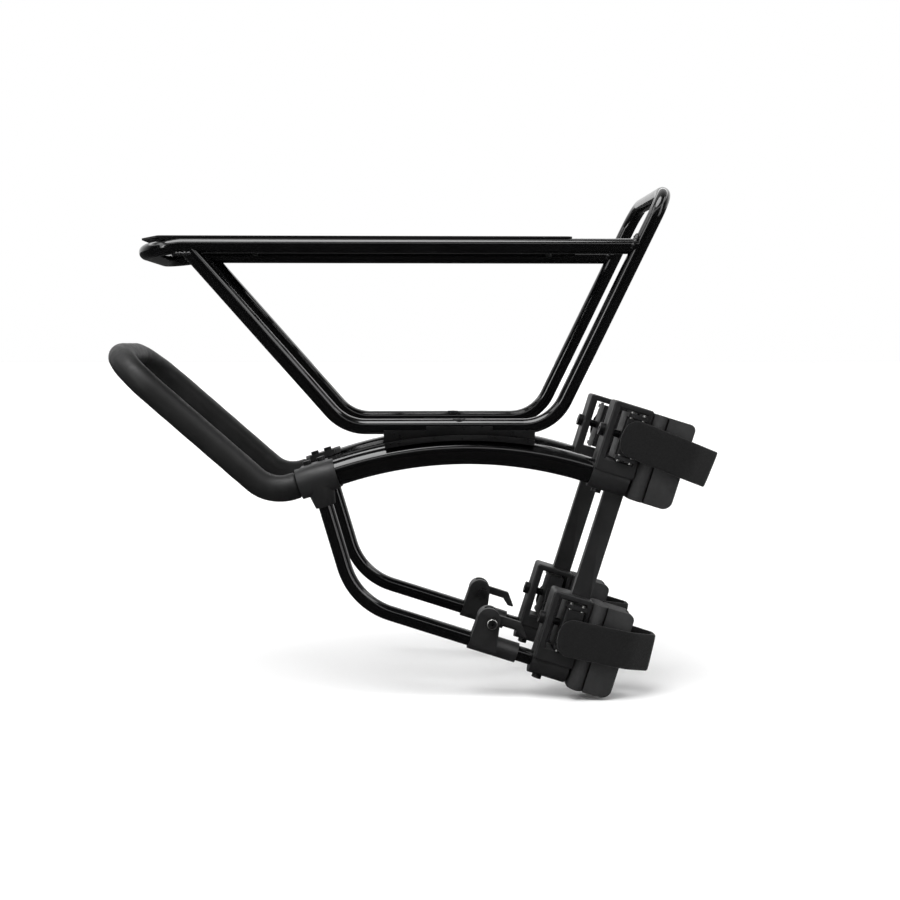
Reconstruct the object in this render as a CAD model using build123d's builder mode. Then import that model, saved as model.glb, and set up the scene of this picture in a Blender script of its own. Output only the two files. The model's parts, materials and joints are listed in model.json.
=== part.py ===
from build123d import *
import os
from math import atan2, cos, degrees, hypot, radians, sin, tan

# A clamp-on rear luggage rack for a bicycle. A flat deck stands on two bent side frames that
# ride on a pair of arched tubes. The arches, a padded rear loop, two lower struts and two
# moulded brackets make the main frame, which four strapped pads hold to the seat stays.
# Origin: on the deck plate's top face, above the crown of the arches.
# +X points to the front of the bicycle, +Y to its left, +Z up. Millimetres.
os.makedirs("parts", exist_ok=True)

# ---- overall layout ----
half_track = 55.0        # mid-plane to the axis of each side's tubes
deck_drop = 116.6        # rail axis down to the axis of the side frame's base
deck_rear_x = -208.7     # axis of the rail's rear cross run
leg_front_x = 112.2      # where the front legs meet the rails
leg_rear_x = -181.4      # where the rear legs meet the rails
base_front_x = 55.6      # front corner of the side frame's base
base_rear_x = -79.0      # rear corner of the side frame's base
hoop_rise = 34.9         # rail axis up to the axis of the front hoop
mount_tilt = 17.3        # brackets and stays lean forward from vertical, degrees
mount_pitch = 130.0      # upper socket to lower socket, along the bracket

# ---- deck tubing ----
rod_d = 10.0
rod_wall = 1.6
rail_bend_r = 21.0
tail_kink_x = -184.0     # the rail dips a little behind here
tail_kink_r = 30.0
tail_dip = 3.6
base_bend_r = 30.0
hoop_bend_r = 17.0

# ---- arches ----
arch_d = 17.0
arch_wall = 1.8
arch_r = 264.2           # radius of the arches' centre line
arch_gap = 2.7           # between the side frame's base and the arch at the crown
fit = 0.05               # radial gap of parts fixed in one another
slide_fit = 0.08         # radial gap of parts that slide or turn on one another
air = 0.3                # gap between faces that pass each other

# ---- top plate and braces ----
plate_t = 1.2
plate_front_x = 68.3
plate_side_rear_x = -197.9
plate_half_w = 57.0
plate_tail_x = -213.0
plate_tail_half_w = 30.0
plate_corner_r = 4.0
slot_len = 36.0          # lightening slots, in three rows
slot_w = 11.0
slot_y = 37.0
slot_centres = (-108.0, -66.0, -24.0, 24.0)
brace_t = 1.2
brace_grip = 3.2         # how far the braces reach down the rails, below the axis
brace_w = 28.0
brace_front_x = 70.0
brace_rear_x = -144.0
brace_taper = 72.0       # slope of the braces' sides, degrees
front_screw_x = 61.0
plate_screw_y = 22.0
plate_screw_d = 4.0
plate_screw_head_d = 6.2
plate_screw_len = 8.0

# ---- sliding saddles ----
saddle_x = -5.0          # middle of the saddle, and its bolt
saddle_len = 98.0
saddle_w = 13.0
saddle_drop = 2.1        # saddle's ends end this far under the base's axis
saddle_hug = 0.5         # and its middle band rises this far over it
band_len = 43.0
shoe_t = 2.3
shoe_w = 18.4
shoe_lip = 1.0           # how far the shoe's sides come down beside the arch
saddle_bolt_d = 5.0
saddle_bolt_head_d = 8.2
saddle_bolt_sink = 1.4
nut_w = 9.0
nut_len = 14.0
nut_t = 4.2
tilt_back = 5.0          # deck travel along the arches, degrees
tilt_forward = 4.0
slot_play = 0.9          # room at the slot's ends and sides for the bolt
slot_side_play = 0.5

# ---- rear loop ----
loop_core_d = 14.8
loop_core_wall = 1.8
loop_sleeve_d = 17.6
loop_rear_x = -228.2     # axis of the loop's cross run
loop_rear_z = -77.3
loop_knee_x = -127.5
loop_knee_r = 25.0
loop_corner_r = 34.0

# ---- tee collars ----
collar_x = -97.0
collar_len = 25.6
collar_d = 20.0
boss_d = 13.6             # at its lower end
boss_taper = 10.0
boss_len = 18.4
collar_stop = 0.5        # where the arch and the loop meet inside
ear_len = 18.0
ear_t = 4.5
ear_split = 1.0
pinch_pitch = 9.5
pinch_screw_d = 3.0
pinch_head_d = 5.4
pinch_head_t = 2.4
strut_stop = 11.0        # strut's top end, from the collar's axis

# ---- lower struts ----
strut_lean = 16.3        # upper run, from vertical, degrees
strut_fall = 18.0        # lower run, below horizontal, degrees
strut_bend_r = 46.0

# ---- mount brackets ----
socket_x = 91.3          # middle of the upper socket
socket_d = 20.8
lower_socket_d = 18.8
frame_rear = 10.4        # bracket's rear face, behind the socket's middle
frame_front = 16.4       # bracket's front face, ahead of the socket's middle
frame_top = 49.0
frame_wall = 5.0
frame_top_wall = 4.0
frame_front_wall = 3.6
frame_half_d = 11.0
socket_stop = 12.6       # depth of the upper socket, from its middle
window_low = 11.2
frame_foot = 2.0         # the frames start this far above the sockets' axes
link_rear = 2.0
link_w = 12.6
link_t = 7.0
bracket_corner_r = 2.0
bracket_edge_r = 1.2
set_screw_v = -3.2
set_screw_d = 4.0
set_screw_head_d = 6.4
set_screw_head_t = 2.2
set_screw_reach = 4.0
upper_screw_reach = 1.7
lower_screw_reach = 2.2

# ---- pads that grip the stays ----
pad_low = -10.0
pad_high = 48.0
pad_len = 28.6
pad_lobe_len = 10.4
pad_lobe_half_w = 13.6
pad_wing_half_w = 11.6
pad_lobe_bulge = 0.64    # half length of the lobe's ellipse, as a share of the lobe
stay_r = 9.0
stay_seat = 5.0          # depth of the groove that takes the stay
pad_corner_low = 6.5
pad_corner_high = 4.0

# ---- strap tensioners ----
carriage_rear = 0.0
carriage_len = 10.2
carriage_gap = 1.4       # above and below the carriage, in the window
carriage_half_d = 8.0
arm_t = 2.6
arm_len = 13.0
bar_d = 2.4
bar_a = 2.2              # the two buckle bars, ahead of the socket's middle
bar_b = 10.4
bar_over = 1.2           # how far each bar stands out of the arms
screw_d = 5.0
screw_head_d = 8.4
screw_head_t = 3.2
screw_len = 15.6
pin_d = 3.0
pin_reach = 4.0
pin_head_d = 6.0
pin_head_t = 1.4

# ---- straps ----
strap_w = 24.7
strap_t = 2.4
strap_out = 16.0         # middle of the strap's legs from the bracket's mid-plane
strap_tab = -0.5         # rounded free end
strap_tab_r = 9.5
strap_bend = 46.0        # where the legs start to close in
strap_soft_r = 24.0
strap_fold = 63.6
strap_fold_half = 4.6
strap_fold_r = 3.6
strap_root = 1.4         # inner end, on the carriage
strap_pin_v = 4.0
upper_strap_lean = 4.6
upper_strap_u = 28.8
lower_strap_lean = -4.5
lower_strap_u = 21.8

# ---- lashing hooks on the struts ----
hook_x = 2.0             # rear end of the clamp sleeve
hook_sleeve_len = 32.5
hook_sleeve_d = 13.2
hook_skirt = 3.0
hook_lug_rear = 0.5
hook_lug_front = 18.8    # at the sleeve; the front edge leans back from here
hook_lug_top = 23.4
hook_slot_s = 3.2
hook_slot_floor = 7.6
hook_bolt_s = 10.4
hook_bolt_h = 14.6
hook_bolt_d = 4.0
hook_head_d = 7.4
hook_head_t = 3.0
hook_washer_t = 0.8
hook_t = 4.2
hook_root_r = 5.6
hook_arm_top = 20.4
hook_arm_h = 5.0
hook_reach = 18.6        # bolt to the hook's bend
hook_tip_len = 7.2
hook_tip_drop = 9.1

# ---- derived places ----
rod_r = rod_d / 2
arch_tube_r = arch_d / 2
rail_z = -plate_t - rod_r
base_z = rail_z - deck_drop
crown_z = base_z - rod_r - arch_gap - arch_tube_r
arch_z = crown_z - arch_r
leg_run = (leg_front_x - base_front_x) / deck_drop
hoop_x = leg_front_x + leg_run * hoop_rise
hoop_z = rail_z + hoop_rise
knee_x = arch_r * sin(radians(mount_tilt))
knee_z = arch_z + arch_r * cos(radians(mount_tilt))
fall = tan(radians(mount_tilt))
socket_z = knee_z - (socket_x - knee_x) * fall
collar_z = knee_z + (collar_x + knee_x) * fall
lug_r = (hook_lug_front - hook_bolt_s) * 0.55
lower_x = socket_x - mount_pitch * sin(radians(mount_tilt))
lower_z = socket_z - mount_pitch * cos(radians(mount_tilt))


def side_plane(x, z, slope):
    """Right-hand side plane through (x, z): local X falls forward by slope degrees, local Y is
    square to it and up, local Z points out of the rack."""
    return Plane(
        origin=(x, -half_track, z),
        x_dir=(cos(radians(slope)), 0, -sin(radians(slope))),
        z_dir=(0, -1, 0),
    )


def along(plane, x, y=0.0, z=0.0):
    """Plane square to a side plane's local X, at a local point."""
    return Plane(origin=plane.from_local_coords((x, y, z)), x_dir=plane.z_dir, z_dir=plane.x_dir)


def up_from(plane, x, y=0.0, z=0.0):
    """Plane square to a side plane's local Y, at a local point."""
    return Plane(origin=plane.from_local_coords((x, y, z)), x_dir=plane.x_dir, z_dir=plane.y_dir)


def out_from(plane, x, y, z=0.0):
    """Plane parallel to a side plane, at a local point."""
    return Plane(origin=plane.from_local_coords((x, y, z)), x_dir=plane.x_dir, z_dir=plane.z_dir)


def save(piece, label):
    piece.part.label = label
    export_step(piece.part, "parts/" + label + ".step")


def save_pair(piece, label):
    """Writes the right-hand piece and its mirror image for the left."""
    save(piece, "right_" + label)
    with BuildPart() as other:
        mirror(piece.part, about=Plane.XZ)
    save(other, "left_" + label)


def swept_tube(points, radii, outer_r, inner_r):
    """A tube along straight runs joined by bends. With inner_r of 0 it is a solid rod."""
    with BuildPart() as tube:
        with BuildLine() as route:
            FilletPolyline(*points, radius=radii)
        start = Plane(origin=route.line @ 0, z_dir=route.line % 0)
        with BuildSketch(start):
            Circle(outer_r)
            if inner_r > 0:
                Circle(inner_r, mode=Mode.SUBTRACT)
        sweep(path=route.line)
    return tube


# ---- deck: rail, hoop frame, braces and top plate ----
def cylinder_cut(plane, radius, reach):
    """Removes a round bar, reach long each way from the plane, from the open piece."""
    with Locations(plane):
        Cylinder(radius, 2 * reach, mode=Mode.SUBTRACT)


leg_lean = atan2(leg_run, 1)
rail_points = [
    (leg_front_x, -half_track, rail_z),
    (tail_kink_x, -half_track, rail_z),
    (deck_rear_x, -half_track, rail_z - tail_dip),
    (deck_rear_x, half_track, rail_z - tail_dip),
    (tail_kink_x, half_track, rail_z),
    (leg_front_x, half_track, rail_z),
]
rail_radii = [tail_kink_r, rail_bend_r, rail_bend_r, tail_kink_r]
rail_tube = swept_tube(rail_points, rail_radii, rod_r, rod_r - rod_wall)
with BuildPart() as rail_cut:
    # The rail's front ends are coped to seat on the front legs.
    add(rail_tube.part)
    for side in (-1, 1):
        leg_joint = (leg_front_x, side * half_track, rail_z)
        leg_plane = Plane(origin=leg_joint, z_dir=(sin(leg_lean), 0, cos(leg_lean)))
        cylinder_cut(leg_plane, rod_r + fit, 4 * rod_d)
with BuildPart() as deck_rail:
    add(rail_cut.part.solids().sort_by(SortBy.VOLUME)[-1])
save(deck_rail, "deck_rail")

hoop_points = [
    (leg_rear_x, -half_track, rail_z),
    (base_rear_x, -half_track, base_z),
    (base_front_x, -half_track, base_z),
    (hoop_x, -half_track, hoop_z),
    (hoop_x, half_track, hoop_z),
    (base_front_x, half_track, base_z),
    (base_rear_x, half_track, base_z),
    (leg_rear_x, half_track, rail_z),
]
hoop_radii = [base_bend_r, base_bend_r, hoop_bend_r, hoop_bend_r, base_bend_r, base_bend_r]
hoop_tube = swept_tube(hoop_points, hoop_radii, rod_r, rod_r - rod_wall)
base_top_z = base_z + rod_r
with BuildPart() as hoop_cut:
    add(hoop_tube.part)
    for side in (-1, 1):
        # The rear legs' top ends are coped to seat under the rail.
        rail_joint = (leg_rear_x, side * half_track, rail_z)
        cylinder_cut(Plane(origin=rail_joint, z_dir=(1, 0, 0)), rod_r + fit, 3 * rod_d)
        kink = (tail_kink_x, side * half_track, rail_z)
        dip_run = (tail_kink_x - deck_rear_x, 0, tail_dip)
        cylinder_cut(Plane(origin=kink, z_dir=dip_run), rod_r + fit, 3 * rod_d)
        # The base is bored for the saddle bolt, with a sunk seat for its head.
        with BuildSketch(Plane(origin=(saddle_x, side * half_track, base_z - rod_d))):
            Circle(saddle_bolt_d / 2 + fit)
        extrude(amount=2 * rod_d, mode=Mode.SUBTRACT)
        with BuildSketch(Plane(origin=(saddle_x, side * half_track, base_top_z - saddle_bolt_sink))):
            Circle(saddle_bolt_head_d / 2 + fit)
        extrude(amount=rod_d, mode=Mode.SUBTRACT)
with BuildPart() as hoop_frame:
    add(hoop_cut.part.solids().sort_by(SortBy.VOLUME)[-1])
save(hoop_frame, "hoop_frame")


def brace(x, screw_x):
    """A stamped cross brace: flat under the plate, with tapering ends that wrap the rails' insides."""
    web_z = -plate_t - fit
    hook_r = rod_r + fit + brace_t
    with BuildPart() as piece:
        with BuildSketch(Plane(origin=(x, 0, 0), x_dir=(0, 1, 0), z_dir=(1, 0, 0))):
            with Locations((0, web_z - brace_t / 2)):
                Rectangle(2 * half_track, brace_t)
            with Locations((-half_track, rail_z), (half_track, rail_z)):
                Circle(hook_r)
            with Locations((0, web_z + rod_d)):
                Rectangle(4 * half_track, 2 * rod_d, mode=Mode.SUBTRACT)
            with Locations((-half_track, rail_z), (half_track, rail_z)):
                Circle(rod_r + fit, mode=Mode.SUBTRACT)
            with Locations((-half_track - rod_d, rail_z), (half_track + rod_d, rail_z)):
                Rectangle(2 * rod_d, 4 * rod_d, mode=Mode.SUBTRACT)
            with Locations((0, rail_z - brace_grip - rod_d)):
                Rectangle(4 * half_track, 2 * rod_d, mode=Mode.SUBTRACT)
        extrude(amount=brace_w / 2, both=True)
        with BuildSketch(Plane(origin=(x, 0, web_z), x_dir=(1, 0, 0), z_dir=(0, -1, 0))):
            with Locations((0, -rod_d)):
                Trapezoid(brace_w, 2 * rod_d, brace_taper, rotation=180)
        extrude(amount=2 * half_track, both=True, mode=Mode.INTERSECT)
        for side in (-1, 1):
            hole_plane = Plane(origin=(screw_x, side * plate_screw_y, 0))
            cylinder_cut(hole_plane, plate_screw_d / 2 + fit, rod_d)
    return piece


save(brace(brace_front_x, front_screw_x), "front_brace")
save(brace(brace_rear_x, brace_rear_x), "rear_brace")

screw_spots = [(x, s * plate_screw_y) for x in (front_screw_x, brace_rear_x) for s in (-1, 1)]
with BuildPart() as top_plate:
    with BuildSketch(Plane(origin=(0, 0, -plate_t))):
        with BuildLine():
            Polyline(
                (plate_front_x, -plate_half_w),
                (plate_front_x, plate_half_w),
                (plate_side_rear_x, plate_half_w),
                (plate_tail_x, plate_tail_half_w),
                (plate_tail_x, -plate_tail_half_w),
                (plate_side_rear_x, -plate_half_w),
                close=True,
            )
        make_face()
        fillet(vertices(), radius=plate_corner_r)
        for x in slot_centres:
            with Locations((x, -slot_y), (x, 0), (x, slot_y)):
                SlotOverall(slot_len, slot_w, mode=Mode.SUBTRACT)
    extrude(amount=plate_t)
    with Locations(*[(x, y, 0) for x, y in screw_spots]):
        CounterSinkHole(plate_screw_d / 2 + fit, plate_screw_head_d / 2 + fit)
save(top_plate, "top_plate")

with BuildPart() as plate_screws:
    with BuildSketch():
        with Locations(*screw_spots):
            Circle(plate_screw_head_d / 2)
    extrude(amount=-(plate_screw_head_d - plate_screw_d) / 2, taper=45)
    with BuildSketch():
        with Locations(*screw_spots):
            Circle(plate_screw_d / 2)
    extrude(amount=-plate_screw_len)
    with BuildSketch():
        with Locations(*screw_spots):
            RegularPolygon(plate_screw_d * 0.32, 6)
    extrude(amount=-1.2, mode=Mode.SUBTRACT)
save(plate_screws, "plate_screws")

# ---- saddles that carry the deck along the arches ----
shoe_inner_r = arch_r + arch_tube_r + air
shoe_outer_r = shoe_inner_r + shoe_t
arch_axis = Axis((0, -half_track, arch_z), (0, 1, 0))
level = side_plane(0, 0, 0)
with BuildPart() as shoe:
    # A curved channel over the arch, swept about the arch's centre.
    rear_angle = (saddle_x - saddle_len / 2) / shoe_outer_r
    front_angle = (saddle_x + saddle_len / 2) / shoe_outer_r
    section_plane = Plane(
        origin=(0, -half_track, arch_z),
        x_dir=(0, 1, 0),
        z_dir=(cos(rear_angle), 0, -sin(rear_angle)),
    )
    with BuildSketch(section_plane):
        with Locations((0, shoe_outer_r)):
            Rectangle(shoe_w, shoe_t + air + shoe_lip, align=(Align.CENTER, Align.MAX))
        with Locations((0, arch_r)):
            Circle(arch_tube_r + air, mode=Mode.SUBTRACT)
    revolve(axis=arch_axis, revolution_arc=degrees(front_angle - rear_angle))
    cylinder_cut(Plane(origin=(saddle_x, -half_track, base_z)), saddle_bolt_d / 2 + fit, rod_d * 3)
save_pair(shoe, "saddle_shoe")

with BuildPart() as saddle:
    with BuildSketch(level):
        with Locations((saddle_x, base_z - saddle_drop)):
            Rectangle(saddle_len, 3 * rod_d, align=(Align.CENTER, Align.MAX))
        with Locations((saddle_x, base_z + saddle_hug)):
            Rectangle(band_len, 3 * rod_d, align=(Align.CENTER, Align.MAX))
        with Locations((0, arch_z)):
            Circle(shoe_outer_r + fit, mode=Mode.SUBTRACT)
    extrude(amount=saddle_w / 2, both=True)
    cylinder_cut(Plane(origin=(saddle_x, -half_track, base_z), z_dir=(1, 0, 0)), rod_r + fit, saddle_len)
    cylinder_cut(Plane(origin=(saddle_x, -half_track, base_z)), saddle_bolt_d / 2 + fit, rod_d * 3)
save_pair(saddle, "saddle_block")

with BuildPart() as slot_nut:
    with BuildSketch(Plane(origin=(saddle_x, -half_track, crown_z))):
        Rectangle(nut_len, nut_w)
        Circle(saddle_bolt_d / 2 + fit, mode=Mode.SUBTRACT)
    extrude(amount=nut_t)
save_pair(slot_nut, "slot_nut")

with BuildPart() as saddle_bolt:
    seat_z = base_top_z - saddle_bolt_sink
    with BuildSketch(Plane(origin=(saddle_x, -half_track, seat_z + fit))):
        Circle(saddle_bolt_head_d / 2)
    extrude(amount=saddle_bolt_sink - 2 * fit)
    with BuildSketch(Plane(origin=(saddle_x, -half_track, seat_z + fit))):
        Circle(saddle_bolt_d / 2)
    extrude(amount=crown_z - seat_z)
    with BuildSketch(Plane(origin=(saddle_x, -half_track, base_top_z))):
        RegularPolygon(saddle_bolt_d * 0.32, 6)
    extrude(amount=-saddle_bolt_sink, mode=Mode.SUBTRACT)
save_pair(saddle_bolt, "saddle_bolt")

# ---- arches ----
rise = side_plane(collar_x, collar_z, -mount_tilt)
mount = side_plane(socket_x, socket_z, mount_tilt)
with BuildPart() as arch:
    with BuildLine() as arch_route:
        rear_run = Line(rise.from_local_coords((collar_stop + fit, 0, 0)), (-knee_x, -half_track, knee_z))
        ThreePointArc(rear_run @ 1, (0, -half_track, crown_z), (knee_x, -half_track, knee_z))
        Line((knee_x, -half_track, knee_z), mount.from_local_coords((socket_stop - fit, 0, 0)))
    with BuildSketch(Plane(origin=arch_route.line @ 0, z_dir=arch_route.line % 0)):
        Circle(arch_tube_r)
        Circle(arch_tube_r - arch_wall, mode=Mode.SUBTRACT)
    sweep(path=arch_route.line)
    # The slot that the saddle bolt slides in, in the arch's top wall.
    slot_rear = saddle_x - arch_r * radians(tilt_back) - slot_play
    slot_front = saddle_x + arch_r * radians(tilt_forward) + slot_play
    with BuildSketch(Plane(origin=((slot_rear + slot_front) / 2, -half_track, crown_z))):
        SlotOverall(slot_front - slot_rear + saddle_bolt_d, saddle_bolt_d + 2 * slot_side_play)
    extrude(amount=arch_d, mode=Mode.SUBTRACT)
save_pair(arch, "arch_tube")

# ---- tee collars at the arches' rear ends ----
strut_dir = (sin(radians(strut_lean)), 0, -cos(radians(strut_lean)))
boss_plane = Plane(origin=rise.origin, z_dir=strut_dir)
ear_in = collar_d / 2 + pinch_head_d / 2 + 0.5
with BuildPart() as collar:
    with BuildSketch(along(rise, 0)):
        Circle(collar_d / 2)
    extrude(amount=collar_len / 2, both=True)
    with BuildSketch(boss_plane):
        Circle(boss_d / 2 + boss_len * tan(radians(boss_taper)))
    extrude(amount=boss_len, taper=boss_taper)
    # Pinch ears stand on the collar's inner side.
    with BuildSketch(out_from(rise, 0, collar_d / 2 - 2 * ear_t / 2)):
        Rectangle(ear_len, 2 * ear_t)
    extrude(amount=-(ear_in + pinch_head_d / 2))
    with BuildSketch(out_from(rise, 0, collar_d / 2 - ear_t)):
        Rectangle(collar_len + 1, ear_split)
    extrude(amount=-2 * collar_d, mode=Mode.SUBTRACT)
    with BuildSketch(along(rise, collar_stop)):
        Circle(arch_tube_r + fit)
    extrude(amount=collar_len, mode=Mode.SUBTRACT)
    with BuildSketch(along(rise, collar_stop)):
        Circle(loop_core_d / 2 + fit)
    extrude(amount=-collar_len, mode=Mode.SUBTRACT)
    with BuildSketch(Plane(origin=boss_plane.from_local_coords((0, 0, strut_stop)), z_dir=strut_dir)):
        Circle(rod_r + fit)
    extrude(amount=boss_len, mode=Mode.SUBTRACT)
    for v in (-pinch_pitch / 2, pinch_pitch / 2):
        cylinder_cut(up_from(rise, v, 0, -ear_in), pinch_screw_d / 2 + fit, collar_d)
save_pair(collar, "tee_collar")

with BuildPart() as collar_screws:
    for v in (-pinch_pitch / 2, pinch_pitch / 2):
        top = collar_d / 2 + fit
        with Locations(up_from(rise, v, top, -ear_in)):
            Cylinder(pinch_head_d / 2, pinch_head_t, align=(Align.CENTER, Align.CENTER, Align.MIN))
            Cylinder(pinch_screw_d / 2, 2 * ear_t + fit, align=(Align.CENTER, Align.CENTER, Align.MAX))
save_pair(collar_screws, "collar_screws")

# ---- rear loop: a bent core tube in a rubber sleeve ----
loop_start = rise.from_local_coords((collar_stop - fit, 0, 0))
sleeve_start = rise.from_local_coords((-collar_len / 2 - fit, 0, 0))
loop_knee_z = collar_z - (collar_x - loop_knee_x) * fall
knee_right = (loop_knee_x, -half_track, loop_knee_z)
corner_right = (loop_rear_x, -half_track, loop_rear_z)
corner_left = (loop_rear_x, half_track, loop_rear_z)
knee_left = (loop_knee_x, half_track, loop_knee_z)
loop_radii = [loop_knee_r, loop_corner_r, loop_corner_r, loop_knee_r]


def loop_points(start):
    end = (start.X, -start.Y, start.Z)
    return [tuple(start), knee_right, corner_right, corner_left, knee_left, end]


loop_core = swept_tube(loop_points(loop_start), loop_radii, loop_core_d / 2, loop_core_d / 2 - loop_core_wall)
save(loop_core, "loop_core")
loop_sleeve = swept_tube(loop_points(sleeve_start), loop_radii, loop_sleeve_d / 2, loop_core_d / 2 + fit)
save(loop_sleeve, "loop_sleeve")

# ---- lower struts ----
low = side_plane(lower_x, lower_z, strut_fall)
lean_run = tan(radians(strut_lean))
low_fall = tan(radians(strut_fall))
strut_drop = (collar_z - lower_z - (lower_x - collar_x) * low_fall) / (1 - lean_run * low_fall)
strut_knee = (collar_x + strut_drop * lean_run, -half_track, collar_z - strut_drop)
strut_top = boss_plane.from_local_coords((0, 0, strut_stop + fit))
strut_end = low.from_local_coords((socket_stop - fit, 0, 0))
strut = swept_tube([tuple(strut_top), strut_knee, tuple(strut_end)], [strut_bend_r], rod_r, rod_r - rod_wall)
save_pair(strut, "lower_strut")


# ---- mount brackets: two windowed frames with sockets, joined by a link bar ----
frame_len = frame_rear + frame_front
window_len = frame_len - frame_wall - frame_front_wall
window_h = frame_top - frame_top_wall - window_low
screw_u = window_low + window_h / 2
link_top = -socket_d / 2 + 2
link_low = frame_top - mount_pitch - 1
lower_mount = side_plane(lower_x, lower_z, mount_tilt)
set_screw_spots = [
    up_from(mount, set_screw_v, -socket_d / 2),
    up_from(low, set_screw_v, -lower_socket_d / 2),
]

with BuildPart() as bracket:
    with BuildSketch(mount):
        with Locations((-frame_rear, frame_foot), (-frame_rear, frame_foot - mount_pitch)):
            Rectangle(frame_len, frame_top - frame_foot, align=(Align.MIN, Align.MIN))
        fillet(vertices(), radius=bracket_corner_r)
        with Locations((-frame_rear + frame_wall, window_low), (-frame_rear + frame_wall, window_low - mount_pitch)):
            Rectangle(window_len, window_h, align=(Align.MIN, Align.MIN), mode=Mode.SUBTRACT)
    extrude(amount=frame_half_d, both=True)
    outer_rims = edges().filter_by(Axis.Y, reverse=True).group_by(Axis.Y)
    fillet(outer_rims[0] + outer_rims[-1], radius=bracket_edge_r)
    for base, diameter in ((mount, socket_d), (low, lower_socket_d)):
        with BuildSketch(along(base, -frame_rear)):
            Circle(diameter / 2)
        extrude(amount=frame_len - frame_front_wall / 2)
    with BuildSketch(mount):
        with Locations((link_rear, link_low)):
            Rectangle(link_w, link_top - link_low, align=(Align.MIN, Align.MIN))
    extrude(amount=link_t / 2, both=True)
    with BuildSketch(along(mount, socket_stop)):
        Circle(arch_tube_r + fit)
    extrude(amount=-2 * frame_len, mode=Mode.SUBTRACT)
    with BuildSketch(along(low, socket_stop)):
        Circle(rod_r + fit)
    extrude(amount=-2 * frame_len, mode=Mode.SUBTRACT)
    for base in (mount, lower_mount):
        with BuildSketch(along(base, -frame_rear - 1, screw_u)):
            Circle(screw_d / 2 + slide_fit)
        extrude(amount=frame_wall + 2, mode=Mode.SUBTRACT)
    for spot in set_screw_spots:
        with BuildSketch(spot):
            Circle(set_screw_d / 2 + fit)
        extrude(amount=set_screw_reach, both=True, mode=Mode.SUBTRACT)
save_pair(bracket, "mount_bracket")

with BuildPart() as socket_screws:
    for spot, reach in zip(set_screw_spots, (upper_screw_reach, lower_screw_reach)):
        with Locations(spot.offset(-fit)):
            Cylinder(set_screw_head_d / 2, set_screw_head_t, align=(Align.CENTER, Align.CENTER, Align.MAX))
            Cylinder(set_screw_d / 2, reach, align=(Align.CENTER, Align.CENTER, Align.MIN))
save_pair(socket_screws, "socket_screws")

# ---- pads that seat on the stays ----
stay_v = frame_front + fit + pad_len + stay_r - stay_seat
pad_front = frame_front + fit + pad_len
lobe_front = frame_front + fit + pad_lobe_len


def stay_pad(base):
    """A rubber block: a round lobe at the bracket, a flat wing, and a groove for the stay."""
    with BuildPart() as piece:
        with BuildSketch(up_from(base, 0, pad_low)):
            with Locations((frame_front + fit, 0)):
                Rectangle(pad_len, pad_wing_half_w, align=(Align.MIN, Align.CENTER))
            with Locations((lobe_front, 0)):
                Rectangle(pad_len - pad_lobe_len, 2 * pad_wing_half_w, align=(Align.MIN, Align.CENTER))
            with Locations((lobe_front - pad_lobe_len / 2, 0)):
                Ellipse(pad_lobe_len * pad_lobe_bulge, pad_lobe_half_w)
            with Locations((stay_v, 0)):
                Circle(stay_r, mode=Mode.SUBTRACT)
        extrude(amount=pad_high - pad_low)
        with BuildSketch(base):
            with Locations((frame_front + fit, pad_low)):
                Rectangle(pad_len, pad_high - pad_low, align=(Align.MIN, Align.MIN))
            fillet(vertices().group_by(Axis.X)[-1].sort_by(Axis.Y)[-1], radius=pad_corner_high)
            fillet(vertices().group_by(Axis.X)[-1].sort_by(Axis.Y)[0], radius=pad_corner_low)
        extrude(amount=2 * pad_lobe_half_w, both=True, mode=Mode.INTERSECT)
    return piece


# ---- strap tensioners: a screwed carriage with two buckle bars holds each strap ----
yoke_low = window_low + carriage_gap
yoke_h = window_h - 2 * carriage_gap
arm_in = frame_half_d + air
arm_out = strap_out - strap_t / 2 - 0.15
bar_w = (arm_in + arm_out) / 2
root_w = strap_out - strap_t / 2 - fit


def strap_carriage(base, strap_u):
    """A yoke that slides in the bracket's window; its two outer arms hold the buckle bars."""
    with BuildPart() as piece:
        with BuildSketch(out_from(base, carriage_rear, yoke_low, -root_w)):
            Rectangle(carriage_len, yoke_h, align=(Align.MIN, Align.MIN))
        extrude(amount=root_w + arm_out)
        with BuildSketch(out_from(base, carriage_rear, yoke_low, arm_in)):
            Rectangle(arm_len, arm_t, align=(Align.MIN, Align.MIN))
            with Locations((0, yoke_h)):
                Rectangle(arm_len, arm_t, align=(Align.MIN, Align.MAX))
        extrude(amount=arm_out - arm_in)
        # Between the arms the yoke is cut back on its outer side, where the strap folds.
        with BuildSketch(out_from(base, carriage_rear, yoke_low + arm_t, carriage_half_d)):
            Rectangle(arm_len, yoke_h - 2 * arm_t, align=(Align.MIN, Align.MIN))
        extrude(amount=strap_out, mode=Mode.SUBTRACT)
        with Locations(along(base, carriage_rear, screw_u)):
            Cylinder(screw_d / 2 + slide_fit, 4 * carriage_len, mode=Mode.SUBTRACT)
        with Locations(up_from(base, bar_a, screw_u, bar_w), up_from(base, bar_b, screw_u, bar_w)):
            Cylinder(bar_d / 2 + fit, 2 * yoke_h, mode=Mode.SUBTRACT)
        with Locations(out_from(base, strap_pin_v, strap_u, -root_w)):
            Cylinder(pin_d / 2 + fit, 2 * pin_reach, mode=Mode.SUBTRACT)
    return piece


def buckle_bars(base):
    with BuildPart() as piece:
        with Locations(up_from(base, bar_a, screw_u, bar_w), up_from(base, bar_b, screw_u, bar_w)):
            Cylinder(bar_d / 2, yoke_h + 2 * bar_over)
    return piece


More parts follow.
